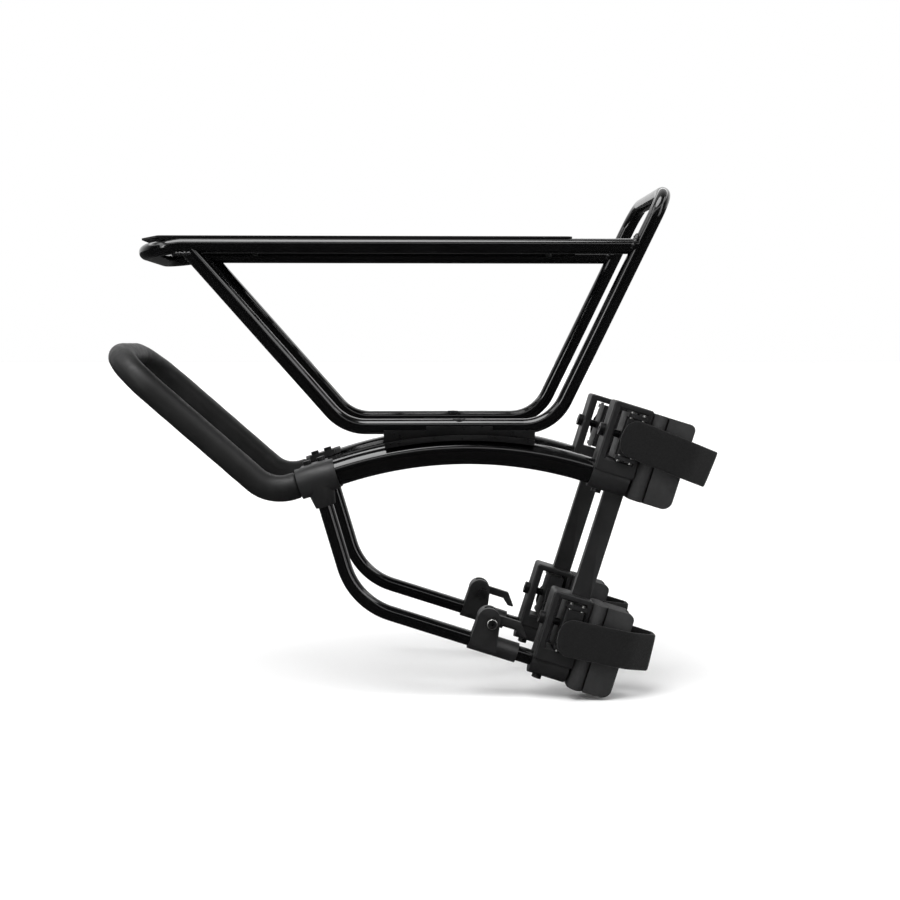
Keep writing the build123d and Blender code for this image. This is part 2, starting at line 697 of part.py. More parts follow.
def strap_pin(base, strap_u):
    with BuildPart() as piece:
        with Locations(out_from(base, strap_pin_v, strap_u, -root_w - strap_t - 2 * fit)):
            Cylinder(pin_head_d / 2, pin_head_t, align=(Align.CENTER, Align.CENTER, Align.MAX))
            Cylinder(pin_d / 2, strap_t + pin_reach, align=(Align.CENTER, Align.CENTER, Align.MIN))
    return piece


def tension_screw(base):
    """Its head bears on the bracket's rear wall; it draws the carriage back."""
    with BuildPart() as piece:
        with Locations(along(base, -frame_rear - slide_fit, screw_u)):
            Cylinder(screw_head_d / 2, screw_head_t, align=(Align.CENTER, Align.CENTER, Align.MAX))
            Cylinder(screw_d / 2, screw_len, align=(Align.CENTER, Align.CENTER, Align.MIN))
        with BuildSketch(along(base, -frame_rear - slide_fit - screw_head_t, screw_u)):
            RegularPolygon(screw_d * 0.34, 6)
        extrude(amount=screw_head_t * 0.6, mode=Mode.SUBTRACT)
    return piece


def strap(base, strap_u, lean):
    """A flat band: from its rounded free end, over the bars, round the stay and back to the yoke."""
    origin = base.from_local_coords((0, strap_u, 0))
    side = side_plane(origin.X, origin.Z, mount_tilt + lean)
    with BuildPart() as piece:
        with BuildLine(up_from(side, 0)) as route:
            FilletPolyline(
                (strap_tab, -strap_out),
                (strap_bend, -strap_out),
                (strap_fold, -strap_fold_half),
                (strap_fold, strap_fold_half),
                (strap_bend, strap_out),
                (strap_root, strap_out),
                radius=[strap_soft_r, strap_fold_r, strap_fold_r, strap_soft_r],
            )
        with BuildSketch(Plane(origin=route.line @ 0, x_dir=side.y_dir, z_dir=route.line % 0)):
            Rectangle(strap_w, strap_t)
        sweep(path=route.line)
        with BuildSketch(side):
            with Locations((strap_tab, 0)):
                Rectangle(2 * strap_fold, strap_w, align=(Align.MIN, Align.CENTER))
            fillet(vertices().group_by(Axis.X)[0], radius=strap_tab_r)
        extrude(amount=2 * strap_out, both=True, mode=Mode.INTERSECT)
        with Locations(out_from(base, strap_pin_v, strap_u, -strap_out)):
            Cylinder(pin_d / 2 + fit, 2 * strap_t, mode=Mode.SUBTRACT)
    return piece


for level_name, base, strap_u, lean in (
    ("upper", mount, upper_strap_u, upper_strap_lean),
    ("lower", lower_mount, lower_strap_u, lower_strap_lean),
):
    save_pair(stay_pad(base), level_name + "_pad")
    save_pair(strap_carriage(base, strap_u), level_name + "_carriage")
    save_pair(buckle_bars(base), level_name + "_buckle_bars")
    save_pair(strap_pin(base, strap_u), level_name + "_strap_pin")
    save_pair(tension_screw(base), level_name + "_tension_screw")
    save_pair(strap(base, strap_u, lean), level_name + "_strap")

# ---- lashing hooks clamped on the struts ----
hook_z = lower_z + (lower_x - hook_x) * low_fall
hook = side_plane(hook_x, hook_z, strut_fall)
with BuildPart() as hook_clamp:
    with BuildSketch(along(hook, 0)):
        Circle(hook_sleeve_d / 2)
    extrude(amount=hook_sleeve_len)
    with BuildSketch(hook):
        with BuildLine():
            Polyline((hook_lug_rear, hook_bolt_h), (0, -hook_skirt), (hook_lug_front, -hook_skirt))
            Line((hook_lug_front, -hook_skirt), (hook_bolt_s + lug_r, hook_bolt_h + 4))
            ThreePointArc(
                (hook_bolt_s + lug_r, hook_bolt_h + 4),
                (hook_bolt_s + 0.2, hook_lug_top),
                (hook_lug_rear, hook_bolt_h),
            )
        make_face()
    extrude(amount=hook_sleeve_d / 2, both=True)
    # The slot between the lug's ears, for the hook.
    with BuildSketch(hook):
        with Locations((hook_slot_s, hook_slot_floor)):
            Rectangle(2 * hook_lug_front, 2 * hook_lug_top, align=(Align.MIN, Align.MIN))
    extrude(amount=hook_t / 2 + air, both=True, mode=Mode.SUBTRACT)
    with Locations(along(hook, hook_sleeve_len / 2)):
        Cylinder(rod_r + slide_fit, 2 * hook_sleeve_len, mode=Mode.SUBTRACT)
    with Locations(out_from(hook, hook_bolt_s, hook_bolt_h)):
        Cylinder(hook_bolt_d / 2 + fit, 2 * hook_sleeve_d, mode=Mode.SUBTRACT)
save_pair(hook_clamp, "hook_clamp")

with BuildPart() as hook_finger:
    arm_end = hook_bolt_s + hook_reach
    tip_end = arm_end + hook_tip_len
    tip_h = hook_arm_top - hook_tip_drop
    arm_low = hook_arm_top - hook_arm_h
    with BuildSketch(hook):
        with Locations((hook_bolt_s, hook_bolt_h)):
            Circle(hook_root_r)
        with BuildLine():
            Polyline(
                (hook_bolt_s, hook_arm_top),
                (arm_end, hook_arm_top),
                (tip_end, tip_h),
                (tip_end - hook_arm_h, tip_h),
                (arm_end - hook_arm_h / 2, arm_low),
                (hook_bolt_s, arm_low),
                close=True,
            )
        make_face()
        fillet(vertices().group_by(Axis.X)[-1] + vertices().group_by(Axis.X)[-3], radius=0.8)
    extrude(amount=hook_t / 2, both=True)
    with Locations(out_from(hook, hook_bolt_s, hook_bolt_h)):
        Cylinder(hook_bolt_d / 2 + slide_fit, 2 * hook_sleeve_d, mode=Mode.SUBTRACT)
save_pair(hook_finger, "hook_finger")

with BuildPart() as hook_bolt:
    ear_face = hook_sleeve_d / 2 + fit
    with BuildSketch(out_from(hook, hook_bolt_s, hook_bolt_h, ear_face)):
        Circle(hook_head_d / 2)
    extrude(amount=hook_washer_t)
    with BuildSketch(out_from(hook, hook_bolt_s, hook_bolt_h, ear_face + hook_washer_t)):
        Circle(hook_head_d / 2 - 0.9)
    extrude(amount=hook_head_t - hook_washer_t)
    with BuildSketch(out_from(hook, hook_bolt_s, hook_bolt_h, ear_face + hook_head_t)):
        RegularPolygon(hook_bolt_d * 0.36, 6)
    extrude(amount=-hook_head_t * 0.6, mode=Mode.SUBTRACT)
    with Locations(out_from(hook, hook_bolt_s, hook_bolt_h, ear_face)):
        Cylinder(hook_bolt_d / 2, 2 * ear_face, align=(Align.CENTER, Align.CENTER, Align.MAX))
    with BuildSketch(out_from(hook, hook_bolt_s, hook_bolt_h, -ear_face)):
        RegularPolygon(hook_head_d / 2, 6)
    extrude(amount=-hook_head_t)
save_pair(hook_bolt, "hook_bolt")
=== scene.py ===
import bpy
import bmesh
import json
import math
from mathutils import Matrix, Vector


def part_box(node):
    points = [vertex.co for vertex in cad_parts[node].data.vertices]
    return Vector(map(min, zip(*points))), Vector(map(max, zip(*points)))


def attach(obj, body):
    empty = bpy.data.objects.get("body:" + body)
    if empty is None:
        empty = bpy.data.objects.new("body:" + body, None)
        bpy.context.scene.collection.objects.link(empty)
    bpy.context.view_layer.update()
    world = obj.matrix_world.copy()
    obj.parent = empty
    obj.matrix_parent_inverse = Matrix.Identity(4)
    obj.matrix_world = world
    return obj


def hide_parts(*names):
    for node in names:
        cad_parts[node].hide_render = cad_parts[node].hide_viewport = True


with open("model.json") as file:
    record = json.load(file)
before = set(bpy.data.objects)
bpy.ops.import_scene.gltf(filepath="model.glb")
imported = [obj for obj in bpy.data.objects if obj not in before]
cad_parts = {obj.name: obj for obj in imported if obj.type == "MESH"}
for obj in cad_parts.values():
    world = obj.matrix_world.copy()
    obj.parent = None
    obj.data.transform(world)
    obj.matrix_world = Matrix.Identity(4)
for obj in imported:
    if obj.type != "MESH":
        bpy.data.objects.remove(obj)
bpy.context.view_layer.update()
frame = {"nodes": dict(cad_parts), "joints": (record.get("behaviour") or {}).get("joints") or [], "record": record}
nodes = frame["nodes"]
joints = {j["name"]: j for j in frame["joints"]}
body_of = {n: b for b, names in frame["record"]["behaviour"]["bodies"].items() for n in names}
slot_of = {s["node"]: s["material_slot"] for s in frame["record"]["subparts"]}
MM = 0.001
SIDES = (("right", -1), ("left", 1))
HALF_TRACK = 0.055        # mid-plane to the axis of each side's tubes

scene = bpy.context.scene

# ---------------------------------------------------------------- camera
CAMERA_PLACE = (-0.0417, -0.955, -0.0686)
CAMERA_DOWN = 4.418       # degrees below level
CAMERA_TURN = 1.958       # degrees towards the front
LENS, SENSOR = 55.4, 36.0

camera_data = bpy.data.cameras.new("camera")
camera_data.lens = LENS
camera_data.sensor_width = SENSOR
camera_data.clip_end = 50.0
camera = bpy.data.objects.new("camera", camera_data)
camera.location = CAMERA_PLACE
camera.rotation_euler = (math.radians(90 - CAMERA_DOWN), 0.0, math.radians(-CAMERA_TURN))
scene.collection.objects.link(camera)
scene.camera = camera


# ---------------------------------------------------------------- materials
class Shade:
    """A small builder for a Principled material's node tree."""

    def __init__(self, name, color, rough, metallic=0.0):
        self.material = bpy.data.materials.new(name)
        self.material.use_nodes = True
        self.tree = self.material.node_tree
        self.main = self.tree.nodes["Principled BSDF"]
        self.main.inputs["Base Color"].default_value = (*color, 1)
        self.main.inputs["Roughness"].default_value = rough
        self.main.inputs["Metallic"].default_value = metallic
        self.where = self.node("ShaderNodeTexCoord").outputs["Object"]
        self.normal = None

    def node(self, kind, **settings):
        made = self.tree.nodes.new(kind)
        for key, value in settings.items():
            setattr(made, key, value)
        return made

    def link(self, a, b):
        self.tree.links.new(a, b)

    def noise(self, scale, detail=4.0, rough=0.55, stretch=None):
        made = self.node("ShaderNodeTexNoise")
        made.inputs["Scale"].default_value = scale
        made.inputs["Detail"].default_value = detail
        made.inputs["Roughness"].default_value = rough
        place = self.where
        if stretch:
            mapping = self.node("ShaderNodeMapping")
            mapping.inputs["Scale"].default_value = stretch
            self.link(place, mapping.inputs["Vector"])
            place = mapping.outputs["Vector"]
        self.link(place, made.inputs["Vector"])
        return made.outputs["Fac"]

    def cells(self, scale):
        made = self.node("ShaderNodeTexVoronoi", feature="F1")
        made.inputs["Scale"].default_value = scale
        self.link(self.where, made.inputs["Vector"])
        return made.outputs["Distance"]

    def spread(self, value, low, high, at=(0.3, 0.7)):
        made = self.node("ShaderNodeMapRange")
        made.inputs["From Min"].default_value = at[0]
        made.inputs["From Max"].default_value = at[1]
        made.inputs["To Min"].default_value = low
        made.inputs["To Max"].default_value = high
        self.link(value, made.inputs["Value"])
        return made.outputs["Result"]

    def tint(self, value, dark, light, at=(0.3, 0.7)):
        made = self.node("ShaderNodeValToRGB")
        made.color_ramp.elements[0].position = at[0]
        made.color_ramp.elements[0].color = (*dark, 1)
        made.color_ramp.elements[1].position = at[1]
        made.color_ramp.elements[1].color = (*light, 1)
        self.link(value, made.inputs["Fac"])
        self.link(made.outputs["Color"], self.main.inputs["Base Color"])

    def bump(self, value, height, strength=1.0):
        made = self.node("ShaderNodeBump")
        made.inputs["Strength"].default_value = strength
        made.inputs["Distance"].default_value = height
        self.link(value, made.inputs["Height"])
        if self.normal:
            self.link(self.normal, made.inputs["Normal"])
        self.normal = made.outputs["Normal"]
        self.link(self.normal, self.main.inputs["Normal"])

    def rough(self, value, low, high, at=(0.3, 0.7)):
        self.link(self.spread(value, low, high, at), self.main.inputs["Roughness"])

    def set(self, **values):
        for key, value in values.items():
            self.main.inputs[key.replace("_", " ")].default_value = value


def gloss_paint():
    s = Shade("gloss_black_paint", (0.003, 0.003, 0.0034), 0.2)
    s.set(Coat_Weight=1.0, Coat_Roughness=0.06, Coat_IOR=1.42, Specular_IOR_Level=0.24)
    s.tint(s.noise(38, 3), (0.0009, 0.0009, 0.0010), (0.0018, 0.0018, 0.0020))
    s.rough(s.noise(90, 4), 0.15, 0.24)
    s.bump(s.noise(140, 2), 0.00002, 0.15)
    return s.material


def satin_paint():
    s = Shade("satin_black_paint", (0.004, 0.004, 0.0042), 0.5)
    s.set(Specular_IOR_Level=0.22)
    s.tint(s.noise(30, 4), (0.0030, 0.0030, 0.0032), (0.0056, 0.0056, 0.0060))
    s.rough(s.noise(120, 4), 0.46, 0.6)
    s.bump(s.noise(1200, 3), 0.00003, 0.35)
    return s.material


def moulded():
    s = Shade("moulded_nylon", (0.010, 0.010, 0.0105), 0.45)
    s.set(Specular_IOR_Level=0.45)
    s.tint(s.noise(55, 5), (0.0075, 0.0075, 0.0078), (0.0125, 0.0125, 0.0130))
    s.rough(s.noise(240, 4), 0.38, 0.52)
    s.bump(s.noise(1600, 3), 0.00004, 0.35)
    s.bump(s.noise(420, 2), 0.00008, 0.15)
    return s.material


def saddle_nylon():
    s = Shade("saddle_nylon", (0.003, 0.003, 0.003), 0.3)
    s.set(Specular_IOR_Level=0.4)
    s.tint(s.noise(55, 5), (0.0022, 0.0022, 0.0023), (0.0044, 0.0044, 0.0046))
    s.rough(s.noise(240, 4), 0.26, 0.38)
    s.bump(s.noise(1600, 3), 0.00003, 0.3)
    return s.material


def sleeve_rubber():
    s = Shade("sleeve_rubber", (0.011, 0.011, 0.011), 0.62)
    s.set(Specular_IOR_Level=0.36)
    s.tint(s.noise(42, 6), (0.0055, 0.0055, 0.0056), (0.0100, 0.0100, 0.0102))
    s.rough(s.noise(300, 5), 0.42, 0.58)
    s.bump(s.noise(1500, 4), 0.00008, 0.4)
    s.bump(s.noise(230, 3), 0.00014, 0.2)
    return s.material


def pad_rubber():
    s = Shade("pad_rubber", (0.02, 0.02, 0.02), 0.7)
    s.set(Specular_IOR_Level=0.32)
    s.tint(s.noise(60, 6), (0.0165, 0.0165, 0.0168), (0.0255, 0.0255, 0.026))
    s.rough(s.noise(280, 4), 0.62, 0.78)
    s.bump(s.noise(1900, 4), 0.00009, 0.5)
    s.bump(s.cells(900), 0.00005, 0.25)
    return s.material


def strap_web():
    s = Shade("strap_pile", (0.006, 0.006, 0.006), 0.9)
    s.set(Specular_IOR_Level=0.18, Sheen_Weight=0.12, Sheen_Roughness=0.5)
    s.tint(s.noise(900, 6, 0.7), (0.0025, 0.0025, 0.0026), (0.0080, 0.0080, 0.0082))
    s.rough(s.noise(500, 4), 0.84, 0.97)
    s.bump(s.noise(3400, 5, 0.7), 0.00022, 0.7)
    s.bump(s.cells(1700), 0.00012, 0.5)
    return s.material


def bright_steel():
    s = Shade("bright_steel", (0.58, 0.58, 0.57), 0.3, 1.0)
    s.tint(s.noise(120, 4), (0.46, 0.46, 0.45), (0.66, 0.66, 0.64))
    s.rough(s.noise(900, 4, stretch=(1, 1, 0.06)), 0.2, 0.42)
    s.bump(s.noise(1500, 3, stretch=(1, 1, 0.06)), 0.00003, 0.3)
    return s.material


def dark_steel():
    s = Shade("black_oxide_steel", (0.03, 0.03, 0.031), 0.38, 0.85)
    s.tint(s.noise(300, 5), (0.022, 0.022, 0.023), (0.05, 0.05, 0.05))
    s.rough(s.noise(700, 4), 0.28, 0.5)
    s.bump(s.noise(1800, 3), 0.00003, 0.35)
    return s.material


def weld_bead():
    s = Shade("painted_weld", (0.005, 0.005, 0.0055), 0.34)
    s.set(Coat_Weight=0.45, Coat_Roughness=0.12)
    s.tint(s.noise(500, 3), (0.004, 0.004, 0.0045), (0.008, 0.008, 0.0085))
    s.bump(s.noise(900, 3), 0.00012, 0.5)
    return s.material


finish = {
    "gloss_black": gloss_paint(),
    "moulded_black": moulded(),
    "sleeve_rubber": sleeve_rubber(),
    "pad_rubber": pad_rubber(),
    "strap_web": strap_web(),
    "bright_steel": bright_steel(),
    "dark_steel": dark_steel(),
}
weld_finish = weld_bead()
saddle_finish = saddle_nylon()


def dress(obj, material):
    obj.data.materials.clear()
    obj.data.materials.append(material)


for name, node in nodes.items():
    dress(node, finish[slot_of[name]])
dress(nodes["top_plate"], satin_paint())


# ---------------------------------------------------------------- piece helpers
def new_piece(name, mesh, body, slot, stands_for=(), material=None):
    obj = bpy.data.objects.new(name, mesh)
    scene.collection.objects.link(obj)
    dress(obj, material or finish[slot])
    for polygon in mesh.polygons:
        polygon.use_smooth = True
    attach(obj, body)
    if stands_for:
        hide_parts(*stands_for)
    return obj


def finished(work, name):
    """Turns a bmesh into a mesh of that name and frees it."""
    mesh = bpy.data.meshes.new(name)
    work.to_mesh(mesh)
    work.free()
    return mesh


MERGE = 1e-6                        # vertices nearer than this are one
FLAT = math.radians(0.6)            # faces this close in slope are joined before rounding
EDGE_ANGLE = math.radians(32)       # an edge sharper than this is rounded


def softened(node, width, material=None):
    """A copy of a CAD node with real rounded edges, which stands for it."""
    mesh = nodes[node].data.copy()
    work = bmesh.new()
    work.from_mesh(mesh)
    bmesh.ops.remove_doubles(work, verts=work.verts, dist=MERGE)
    bmesh.ops.dissolve_limit(work, angle_limit=FLAT, verts=work.verts, edges=work.edges)
    work.to_mesh(mesh)
    work.free()
    slot = slot_of[node]
    piece = new_piece(node + ".moulding", mesh, body_of[node], slot, [node], material)
    bevel = piece.modifiers.new("edges", "BEVEL")
    bevel.width = width
    bevel.segments = 2
    bevel.limit_method = "ANGLE"
    bevel.angle_limit = EDGE_ANGLE
    bevel.use_clamp_overlap = True
    bevel.harden_normals = True


# ---------------------------------------------------------------- straps
STRAP = {"upper": (0.7, 4.6), "lower": (-6.3, -4.5)}    # mm up the bracket, degrees of lean
STRAP_HALF_W, STRAP_HALF_T = 12.35, 1.2
STRAP_TIP, STRAP_ROOT = -0.5, 1.4         # its free end and its fixed end, along the pull
STRAP_OUT = 16.0                          # half the loop's width beside the pads
STRAP_SHOULDER, SHOULDER_R = 46.0, 24.0   # where the loop begins to narrow
STRAP_NOSE, NOSE_HALF, NOSE_R = 63.6, 4.6, 3.6
STRAP_STEP = 1.1
TIP_R = 9.5                               # radius of the free end's corners
THINNING = 0.22                           # how much thinner the band is at its edges


def strap_piece(side, sign, level):
    """The band: from its rounded end over the bars, round the stay and back to the yoke."""
    turn = joints[f"{side}_{level}_screw_turn"]
    pull = Vector(joints[f"{side}_{level}_strap_pull"]["axis"])
    rise = Vector((-pull.z, 0, pull.x))
    shift, lean = STRAP[level]
    origin = Vector(turn["pos_m"]) + rise * shift * MM
    tilt = math.radians(lean)
    along = pull * math.cos(tilt) - rise * math.sin(tilt)
    up = rise * math.cos(tilt) + pull * math.sin(tilt)
    out = Vector((0, sign, 0))
    outline = [
        (STRAP_TIP, STRAP_OUT),
        (STRAP_SHOULDER, STRAP_OUT),
        (STRAP_NOSE, NOSE_HALF),
        (STRAP_NOSE, -NOSE_HALF),
        (STRAP_SHOULDER, -STRAP_OUT),
        (STRAP_ROOT, -STRAP_OUT),
    ]
    route = rounded(outline, [SHOULDER_R, NOSE_R, NOSE_R, SHOULDER_R], STRAP_STEP)
    work = bmesh.new()
    rings = []
    lengths = [0.0]
    for a, b in zip(route, route[1:]):
        lengths.append(lengths[-1] + math.dist(a, b))
    for i, (x, y) in enumerate(route):
        a, b = route[max(i - 1, 0)], route[min(i + 1, len(route) - 1)]
        ahead = Vector((b[0] - a[0], b[1] - a[1])).normalized()
        side_way = Vector((-ahead.y, ahead.x))
        width = STRAP_HALF_W
        if lengths[i] < TIP_R:
            width += math.sqrt(max(TIP_R ** 2 - (TIP_R - lengths[i]) ** 2, 0.3)) - TIP_R
        ring = []
        for w, t in band_section(width, STRAP_HALF_T):
            thinning = THINNING * (abs(w) / width) ** 4 * (1 if t > 0 else -0.4)
            t_here = t - (thinning if abs(t) > STRAP_HALF_T / 2 else 0)
            reach = along * (x + side_way.x * t_here) + out * (y + side_way.y * t_here)
            ring.append(work.verts.new(origin + (reach + up * w) * MM))
        rings.append(ring)
    skin(work, rings)
    name, node = f"{side}_{level}_band", f"{side}_{level}_strap"
    new_piece(name, finished(work, name), body_of[node], "strap_web", [node])


def band_section(half_w, half_t):
    """Outline of a flat band with round edges, as (width, thickness) pairs."""
    points = []
    steps = 5
    inner = max(half_w - half_t, 0.2)
    for k in range(steps + 1):
        a = -math.pi / 2 + math.pi * k / steps
        points.append((inner + half_t * math.cos(a), half_t * math.sin(a)))
    across = 10
    for k in range(1, across):
        points.append((inner - 2 * inner * k / across, half_t))
    for k in range(steps + 1):
        a = math.pi / 2 + math.pi * k / steps
        points.append((-inner + half_t * math.cos(a), half_t * math.sin(a)))
    for k in range(1, across):
        points.append((-inner + 2 * inner * k / across, -half_t))
    return points


def skin(work, rings, closed=False):
    """Joins rings of vertices into a closed tube with ends."""
    count = len(rings[0])
    pairs = list(zip(rings, rings[1:]))
    if closed:
        pairs.append((rings[-1], rings[0]))
    for a, b in pairs:
        for k in range(count):
            work.faces.new((a[k], a[(k + 1) % count], b[(k + 1) % count], b[k]))
    if not closed:
        work.faces.new(list(reversed(rings[0])))
        work.faces.new(rings[-1])
    bmesh.ops.recalc_face_normals(work, faces=work.faces)


def rounded(points, radii, step):
    """A polyline with its inner corners rounded, sampled about every step. Works in 2-D and 3-D."""
    size = len(points[0])
    pts = [Vector((*p, 0)) if size == 2 else Vector(p) for p in points]
    out = [pts[0]]
    for i in range(1, len(pts) - 1):
        a = (pts[i - 1] - pts[i]).normalized()
        b = (pts[i + 1] - pts[i]).normalized()
        half = a.angle(b) / 2
        reach = radii[i - 1] / math.tan(half)
        centre = pts[i] + (a + b).normalized() * (radii[i - 1] / math.sin(half))
        first = pts[i] + a * reach
        last = pts[i] + b * reach
        run(out, first, step)
        r0, r1 = first - centre, last - centre
        total = r0.angle(r1)
        turns = max(int(total * radii[i - 1] / step), 6)
        axis = r0.cross(r1)
        for k in range(1, turns + 1):
            out.append(centre + Matrix.Rotation(total * k / turns, 3, axis) @ r0)
    run(out, pts[-1], step)
    return [tuple(p)[:size] for p in out]


def run(out, end, step):
    start = out[-1]
    count = max(int((end - start).length / step), 1)
    for k in range(1, count + 1):
        out.append(start.lerp(end, k / count))


BAR_GAP = 8.2                     # between the axes of the two buckle bars
WRAP_R = 1.72                     # of the webbing round each bar
ARC_STEPS = 8
WRAP_ENDS = (                     # place across the band, and how far its edge is drawn in there
    (-12.2, 0.45), (-11.9, 0.1), (-11.2, 0.0), (0.0, 0.0), (11.2, 0.0), (11.9, 0.1), (12.2, 0.45),
)


def buckle_wrap(side, sign, level):
    """The turn of webbing round the two buckle bars, under the strap's rounded end."""
    pull = Vector(joints[f"{side}_{level}_strap_pull"]["axis"])
    rise = Vector((-pull.z, 0, pull.x))
    low_bar, high_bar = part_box(f"{side}_{level}_buckle_bars")
    centre = (low_bar + high_bar) / 2
    outline = []
    for start, bar in ((-math.pi / 2, BAR_GAP / 2), (math.pi / 2, -BAR_GAP / 2)):
        for k in range(ARC_STEPS + 1):
            a = start + math.pi * k / ARC_STEPS
            outline.append((bar + WRAP_R * math.cos(a), WRAP_R * math.sin(a)))
    work = bmesh.new()
    rings = []
    for u, inset in WRAP_ENDS:
        ring = []
        for v, w in outline:
            in_plane = pull * (v - math.copysign(inset, v)) + rise * u
            outward = Vector((0, sign * w * (1 - inset / WRAP_R), 0))
            ring.append(work.verts.new(centre + (in_plane + outward) * MM))
        rings.append(ring)
    skin(work, rings)
    name = f"{side}_{level}_wrap"
    new_piece(name, finished(work, name), f"{side}_{level}_tensioner", "strap_web")


for side, sign in SIDES:
    for level in STRAP:
        strap_piece(side, sign, level)
        buckle_wrap(side, sign, level)


# ---------------------------------------------------------------- hook bolts' bright rings
RING_R, RING_HALF_W, RING_HALF_T = 2.95, 0.62, 0.42
RING_SINK = 0.45          # its middle, behind the bolt head's face


def bolt_ring(side, sign):
    """A bright chamfered washer edge round the hook bolt's head, on the outer face."""
    pivot = Vector(joints[f"{side}_hook_swing"]["pos_m"])
    low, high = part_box(f"{side}_hook_bolt")
    face = low.y if sign < 0 else high.y
    middle = Vector((pivot.x, face - sign * RING_SINK * MM, pivot.z))
    work = bmesh.new()
    rings = []
    for k in range(40):
        a = 2 * math.pi * k / 40
        spoke = Vector((math.cos(a), 0, math.sin(a)))
        ring = []
        for j in range(8):
            t = 2 * math.pi * j / 8
            outward = spoke * (RING_R + RING_HALF_W * math.cos(t))
            ring.append(work.verts.new(
                middle + (outward + Vector((0, RING_HALF_T * math.sin(t) * sign, 0))) * MM
            ))
        rings.append(ring)
    skin(work, rings, closed=True)
    name = f"{side}_hook_ring"
    new_piece(name, finished(work, name), f"{side}_hook_slider", "bright_steel")


for side, sign in SIDES:
    bolt_ring(side, sign)

# ---------------------------------------------------------------- rubber sleeve of the rear loop
SLEEVE_R = 8.8
SLEEVE_INSET = 0.16                         # keeps the sleeve's ripples inside the CAD sleeve
TILT = math.radians(17.3)                   # slope of the loop's arms where they meet the collars
COLLAR = Vector((-0.097, 0, -0.15669))      # middle of each collar, in side view
MOUTH_REACH = 12.85                         # collar's middle to the sleeve's end
KNEE_X = -0.1275                            # where the arms turn up
KNEE_R, REAR_R = 0.025, 0.034
SLEEVE_STEP = 0.0016
LIP_DEPTH, LIP_RUN = 0.9, 0.0012            # the sleeve's rounded ends
PUCKER, PUCKER_RATE = 0.16, 1900            # ripples on the inside of a bend
SLACK, SLACK_RATE = 0.05, 310               # slow unevenness along the sleeve


def loop_path():
    """The sleeve's axis, from one collar round the back to the other."""
    low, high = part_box("loop_sleeve")
    rear_x = low.x + SLEEVE_R * MM
    rear_z = high.z - SLEEVE_R * MM
    knee_z = COLLAR.z + (KNEE_X - COLLAR.x) * math.tan(TILT)
    mouth = COLLAR - Vector((math.cos(TILT), 0, math.sin(TILT))) * MOUTH_REACH * MM
    arm = [(mouth.x, mouth.z), (KNEE_X, knee_z), (rear_x, rear_z)]
    corners = [(x, -HALF_TRACK, z) for x, z in arm] + [(x, HALF_TRACK, z) for x, z in reversed(arm)]
    return [Vector(p) for p in rounded(corners, [KNEE_R, REAR_R, REAR_R, KNEE_R], SLEEVE_STEP)]


def loop_grip():
    """The rubber sleeve, with small ripples inside its bends and rounded ends."""
    path = loop_path()
    gone = [0.0]
    for a, b in zip(path, path[1:]):
        gone.append(gone[-1] + (b - a).length)
    work = bmesh.new()
    rings = []
    side_axis = None
    for i, place in enumerate(path):
        ahead = (path[min(i + 1, len(path) - 1)] - path[max(i - 1, 0)]).normalized()
        if side_axis is None:
            side_axis = ahead.cross(Vector((0, 0, 1))).normalized()
        side_axis = (side_axis - ahead * side_axis.dot(ahead)).normalized()
        over = side_axis.cross(ahead).normalized()
        bend, inner = 0.0, side_axis
        if 2 < i < len(path) - 3:
            turn = (path[i + 2] - path[i]).normalized() - (path[i] - path[i - 2]).normalized()
            bend = min(turn.length * 6, 1.0)
            inner = turn.normalized() if turn.length > 1e-5 else side_axis
        edge = min(gone[i], gone[-1] - gone[i])
        lip = -LIP_DEPTH * max(0.0, 1 - edge / LIP_RUN) ** 2
        ring = []
        for j in range(40):
            a = 2 * math.pi * j / 40
            out = side_axis * math.cos(a) + over * math.sin(a)
            toward = max(out.dot(inner), 0.0)
            pucker = PUCKER * bend * toward ** 2 * math.sin(gone[i] * PUCKER_RATE)
            slack = SLACK * math.sin(gone[i] * SLACK_RATE + 2.1 * math.sin(a * 2))
            radius = SLEEVE_R - SLEEVE_INSET + pucker + slack + lip
            ring.append(work.verts.new(place + out * radius * MM))
        rings.append(ring)
    skin(work, rings)
    mesh = finished(work, "loop_grip")
    new_piece("loop_grip", mesh, "main_frame", "sleeve_rubber", ["loop_sleeve"])


loop_grip()

# ---------------------------------------------------------------- weld beads on the deck
ROD = 5.0 * MM                              # radius of the deck's tubes
LEG_FRONT, LEG_REAR = 0.1122, -0.1814       # where the side frame's legs reach the rail
BASE_FRONT, BASE_REAR = 0.0556, -0.079      # where they leave its base
BEAD, BEAD_SCALE, BEAD_WANDER = 1.15, 0.28, 0.1


def weld(name, centre, across, along):
    """A rippled bead round a tube joint: an oval ring of small overlapping scales."""
    work = bmesh.new()
    rings = []
    steps = 60
    for k in range(steps):
        angle = 2 * math.pi * k / steps
        spoke = across * math.cos(angle) + along * math.sin(angle)
        tangent = (along * math.cos(angle) - across * math.sin(angle)).normalized()
        outward = spoke.normalized()
        rise = tangent.cross(outward).normalized()
        swell = BEAD + BEAD_SCALE * math.sin(angle * 15) + BEAD_WANDER * math.sin(angle * 7 + 1)
        rings.append([
            work.verts.new(
                centre + spoke + (outward * math.cos(t) + rise * math.sin(t)) * swell * MM
            )
            for t in (2 * math.pi * j / 10 for j in range(10))
        ])
    skin(work, rings, closed=True)
    new_piece(name, finished(work, name), "deck", "gloss_black", material=weld_finish)


